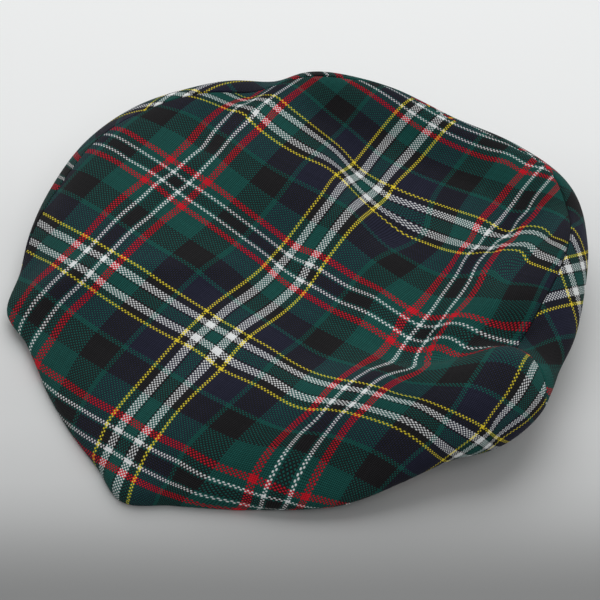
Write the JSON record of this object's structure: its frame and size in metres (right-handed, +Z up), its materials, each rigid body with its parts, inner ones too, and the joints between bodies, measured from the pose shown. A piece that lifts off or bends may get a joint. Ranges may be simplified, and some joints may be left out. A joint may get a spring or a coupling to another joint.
{
  "type": "flat cap",
  "caption": "Soft flat cap in checked wool twill: a large top panel, two curved side panels and a short stiff peak, lying empty on its hem.",
  "frame": {"origin": "on the surface it rests on, under the middle of the cap's box", "axes": "+Z up, -Y to the front of the peak, +X to the right as seen from the front"},
  "size_m": [0.28, 0.2668, 0.0581],
  "materials": {
    "crown_cloth": "tartan wool twill, green and navy with white, yellow and red lines",
    "side_cloth": "tartan wool twill, green and navy with white, yellow and red lines",
    "peak_cloth": "tartan wool twill over a stiff board"
  },
  "bodies": {
    "root": {"crown_top": "crown_cloth", "side_panel_left": "side_cloth", "side_panel_right": "side_cloth", "peak": "peak_cloth"}
  },
  "joints": []
}
